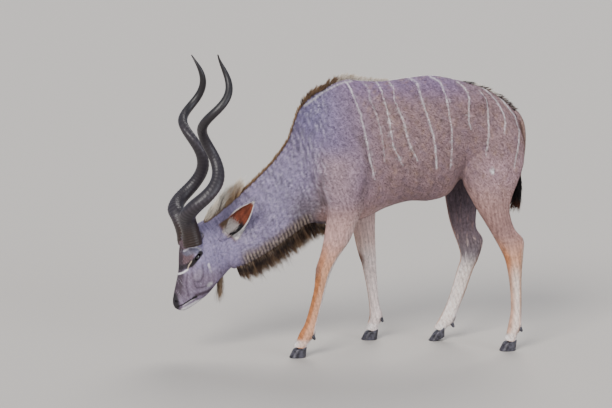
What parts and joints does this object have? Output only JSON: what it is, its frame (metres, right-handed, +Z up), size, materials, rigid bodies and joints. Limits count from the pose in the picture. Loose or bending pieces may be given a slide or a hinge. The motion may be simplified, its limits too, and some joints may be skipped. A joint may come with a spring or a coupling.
{
  "type": "greater kudu",
  "caption": "Life-size greater kudu bull, grazing with its head low, with long corkscrew horns, mane and throat fringe.",
  "frame": {"origin": "middle of the animal's overall length and width, at the level that its hooves rest on", "axes": "+X towards the tail, -X towards the head, -Y the animal's left side, +Z up"},
  "size_m": [1.8834, 0.6094, 1.578],
  "materials": {
    "coat": "short hair",
    "leg_coat": "short hair",
    "neck_coat": "short hair",
    "horn": "worn horn",
    "hoof": "worn horn",
    "eye": "wet gloss"
  },
  "bodies": {
    "root": {"torso": "coat", "neck": "neck_coat", "head": "neck_coat", "ear_left": "neck_coat", "ear_right": "neck_coat", "eye_left": "eye", "eye_right": "eye", "horn_left": "horn", "horn_right": "horn", "tail": "coat", "leg_front_left": "leg_coat", "leg_front_right": "leg_coat", "leg_hind_left": "leg_coat", "leg_hind_right": "leg_coat", "claw_front_left_left": "hoof", "dewclaw_front_left_left": "hoof", "claw_front_left_right": "hoof", "dewclaw_front_left_right": "hoof", "claw_front_right_left": "hoof", "dewclaw_front_right_left": "hoof", "claw_front_right_right": "hoof", "dewclaw_front_right_right": "hoof", "claw_hind_left_left": "hoof", "dewclaw_hind_left_left": "hoof", "claw_hind_left_right": "hoof", "dewclaw_hind_left_right": "hoof", "claw_hind_right_left": "hoof", "dewclaw_hind_right_left": "hoof", "claw_hind_right_right": "hoof", "dewclaw_hind_right_right": "hoof"}
  },
  "joints": []
}
